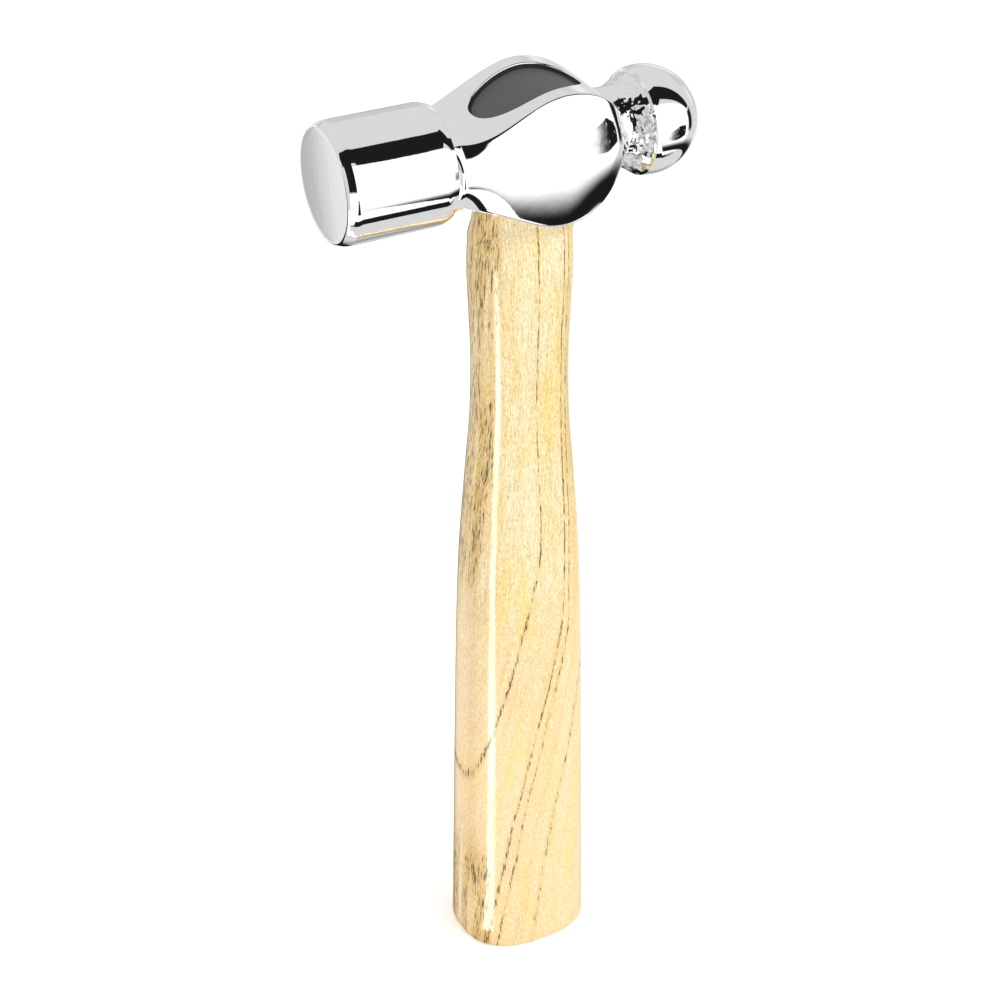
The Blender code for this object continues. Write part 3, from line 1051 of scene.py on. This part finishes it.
def smudge_mask(nodes, x, y, z):
    """Full at the right, fading out leftwards, with ragged edges."""
    ragged = nodes.noise(nodes.join(x, y, z), 90.0, 3.0, 0.6)
    fade = nodes.step(nodes.line(ragged, 0.02, x), 0.064, 0.090)
    return nodes.times(fade, nodes.step(ragged, 0.32, 0.40))


def face_mask(nodes, x, y, z):
    """A slow shade that deepens to the left."""
    return nodes.step(y, 0.31, 0.40, 0.0, 0.62)


def make_floor():
    made = bpy.data.materials.new("pale_floor")
    made.use_nodes = True
    shader = made.node_tree.nodes["Principled BSDF"]
    shader.inputs["Base Color"].default_value = (0.92, 0.92, 0.92, 1.0)
    shader.inputs["Roughness"].default_value = 0.9
    shader.inputs["Emission Color"].default_value = WHITE
    shader.inputs["Emission Strength"].default_value = 0.2
    half = FLOOR_HALF
    z = HANDLE_LOW.z
    corners = [(-half, -half, z), (half, -half, z), (half, half, z), (-half, half, z)]
    floor = mesh_object("floor", corners, [(0, 1, 2, 3)], made)
    floor.visible_glossy = False


def dome_tone(nodes, direction):
    """What polished metal sees in each direction, apart from the cards."""
    x, y, z = nodes.split(direction)
    # Turn about the barrel's axis, from level in front up to overhead and down to the floor
    turn = nodes.math("DEGREES", nodes.math("ARCTAN2", z, nodes.times(y, -1.0)))
    white = nodes.times(nodes.inside(turn, -64.0, 48.0, 2.0), nodes.step(x, -0.46, -0.38))
    tone = nodes.mix(white, DOME_GREY, DOME_WHITE)
    # Slow light and shade low down behind, for the sides that the camera doesn't see
    behind = nodes.times(nodes.step(y, 0.15, 0.45), nodes.step(z, 0.45, 0.10))
    cloud = nodes.noise(direction, 1.6, 2.0, 0.4, (0.3, 2.0, 0.6))
    cloud = nodes.mix(nodes.step(cloud, 0.36, 0.62), DOME_SHADE, DOME_LIGHT)
    tone = nodes.mix(behind, tone, cloud)
    # An even patch for the striking face
    axis = tuple(Vector(FACE_VIEW).normalized())
    dot = nodes.add("ShaderNodeVectorMath", {0: direction, 1: axis}, operation="DOT_PRODUCT")
    from_face = nodes.math("DEGREES", nodes.math("ARCCOSINE", dot.outputs["Value"]))
    tone = nodes.mix(nodes.step(from_face, 30.0, 14.0), tone, DOME_FACE)
    # Dark up to the left, which blackens the upper part of the face's chamfer
    left = nodes.times(nodes.inside(x, -0.42, -0.05, 0.02), nodes.inside(turn, 2.0, 80.0, 3.0))
    # Dark ring around what the face itself reflects: it draws the face's lower edge
    ring = nodes.times(nodes.inside(from_face, 22.0, 44.0, 2.0), nodes.step(z, -0.22, -0.32))
    # Dark low down to the right. The bearing runs from -Y towards +X
    bearing = nodes.math("DEGREES", nodes.math("ARCTAN2", x, nodes.times(y, -1.0)))
    elevation = nodes.math("DEGREES", nodes.math("ARCSINE", z))
    right = nodes.inside(bearing, 77.0, 89.0, 2.0)
    right = nodes.times(right, nodes.inside(elevation, -20.0, 5.0, 3.0))
    dark = nodes.math("MAXIMUM", nodes.math("MAXIMUM", left, ring), right)
    return nodes.mix(dark, tone, DOME_BLACK)


def make_dome(levels=24, sides=48):
    """The studio around the part: pale grey overhead and behind, white in front."""
    made, nodes = bare_material("studio_dome")
    place = nodes.add("ShaderNodeTexCoord").outputs["Object"]
    direction = nodes.add("ShaderNodeVectorMath", {0: place}, operation="NORMALIZE").outputs[0]
    tone = dome_tone(nodes, direction)
    nodes.show(nodes.add("ShaderNodeEmission", {"Color": tone, "Strength": 1.0}).outputs[0])
    turns = [2 * math.pi * j / sides for j in range(sides)]
    rings = []
    for i in range(1, levels):
        polar = math.pi * i / levels
        across = DOME_RADIUS * math.sin(polar)
        level = -DOME_RADIUS * math.cos(polar)
        rings.append([(across * math.cos(turn), across * math.sin(turn), level) for turn in turns])
    foot = (0, 0, -DOME_RADIUS)
    top = (0, 0, DOME_RADIUS)
    dome = loft("studio_dome", rings, start=foot, end=top, finish=made)
    dome.location = (0.0, 0.0, HEAD_AXIS_Z)
    dome.data.shade_smooth()
    only_in_reflections(dome)


def make_cards():
    height = HEAD_AXIS_Z + OVERHEAD
    foot = HANDLE_LOW.z + CARD_GAP
    card("overhead_flag", [(x, y, height) for x, y in OVERHEAD_OUTLINE], BLACK)
    card("floor_strip", [(x, y, foot) for x, y in STRIP_OUTLINE], BLACK)
    shaded_card("floor_arc", [(x, y, foot) for x, y in ARC_OUTLINE], arc_mask)
    card("floor_column", [(x, y, foot) for x, y in COLUMN_OUTLINE], BLACK)
    shaded_card("ball_flag", [(x, y, HEAD_AXIS_Z + up) for x, y, up in BALL_FLAG], smudge_mask)
    shaded_card("face_shade", FACE_SHADE, face_mask, FACE_SHADE_TONE)
    low = math.radians(LIGHT_BEARING - LIGHT_SPREAD)
    high = math.radians(LIGHT_BEARING + LIGHT_SPREAD)
    corners = []
    for reach, angle in (
        (LIGHT_NEAR, low),
        (LIGHT_NEAR, high),
        (LIGHT_FAR, high),
        (LIGHT_FAR, low),
    ):
        corners.append((reach * math.cos(angle), reach * math.sin(angle), foot + CARD_GAP))
    card("floor_light", corners, LIGHT_STRENGTH)


def make_lights():
    world = bpy.data.worlds.new("studio")
    bpy.context.scene.world = world
    world.use_nodes = True
    back = world.node_tree.nodes["Background"]
    back.inputs["Color"].default_value = WHITE
    back.inputs["Strength"].default_value = 1.0
    light = bpy.data.lights.new("key", "AREA")
    light.shape = "DISK"
    light.size = 1.2
    light.energy = 14.0
    lamp = bpy.data.objects.new("key", light)
    bpy.context.scene.collection.objects.link(lamp)
    lamp.location = KEY_LOCATION
    lamp.rotation_mode = "QUATERNION"
    lamp.rotation_quaternion = (lamp.location - KEY_AIM).to_track_quat("Z", "Y")
    lamp.visible_glossy = False


def make_camera():
    azimuth = math.radians(CAMERA_AZIMUTH)
    elevation = math.radians(CAMERA_ELEVATION)
    level = math.cos(elevation)
    back = Vector((math.sin(azimuth) * level, -math.cos(azimuth) * level, math.sin(elevation)))
    centre = (Vector(CAD_BOX[0]) + Vector(CAD_BOX[1])) / 2
    data = bpy.data.cameras.new("camera")
    data.sensor_width = CAMERA_SENSOR
    data.lens = CAMERA_LENS
    camera = bpy.data.objects.new("camera", data)
    bpy.context.scene.collection.objects.link(camera)
    camera.location = centre + CAMERA_AIM + back * CAMERA_DISTANCE
    camera.rotation_mode = "QUATERNION"
    camera.rotation_quaternion = (-back).to_track_quat("-Z", "Y")
    bpy.context.scene.camera = camera


# ---------------------------------------------------------------- scene


def make_hammer():
    make_head(chrome_material())
    make_handle(ash_material())
    make_seal(resin_material())
    wood = wedge_wood_material()
    steel = wedge_steel_material()
    for node, finish in (
        ("wooden_wedge", wood),
        ("steel_wedge_front", steel),
        ("steel_wedge_rear", steel),
    ):
        obj = frame["nodes"][node]
        obj.data.materials.clear()
        obj.data.materials.append(finish)


make_hammer()
make_floor()
make_dome()
make_cards()
make_lights()
make_camera()
scene = bpy.context.scene
scene.view_settings.view_transform = "Standard"
scene.view_settings.look = "None"
